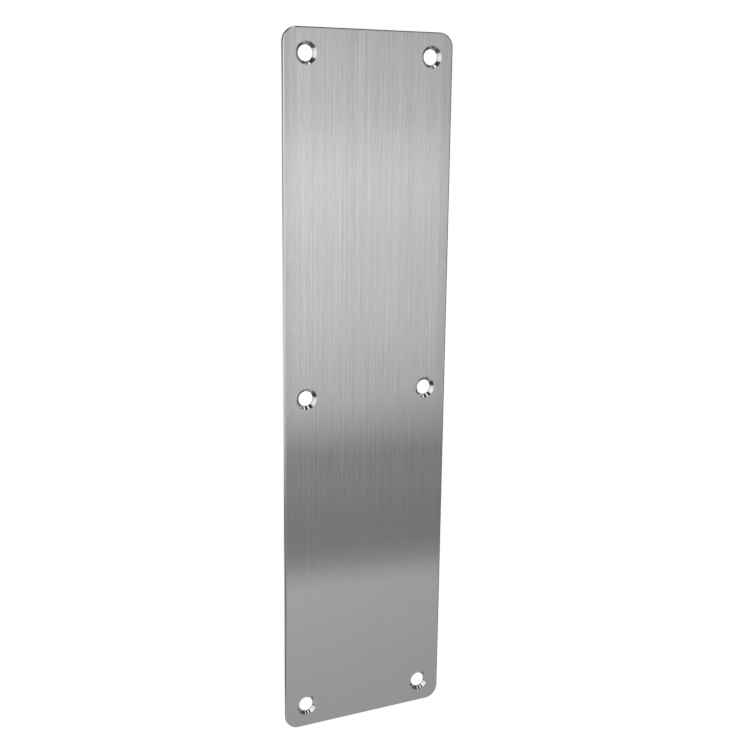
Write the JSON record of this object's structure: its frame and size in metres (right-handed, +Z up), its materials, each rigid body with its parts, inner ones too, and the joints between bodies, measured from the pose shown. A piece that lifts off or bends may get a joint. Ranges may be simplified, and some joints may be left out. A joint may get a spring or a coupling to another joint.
{
  "type": "door finger plate",
  "caption": "Flat oblong push plate with rounded corners and countersunk screw holes down both long sides, to be screwed to a door and keep hands off its face.",
  "frame": {"origin": "middle of the back face, in the plane that lies against the door", "axes": "+Z up the door along the plate's long side, +X across its width, +Y into the door, so the brushed front face looks towards -Y"},
  "size_m": [0.076, 0.0015, 0.3],
  "materials": {
    "satin_steel": "satin stainless steel, brushed along the long side, with turned countersinks"
  },
  "bodies": {
    "root": {"plate": "satin_steel"}
  },
  "joints": []
}
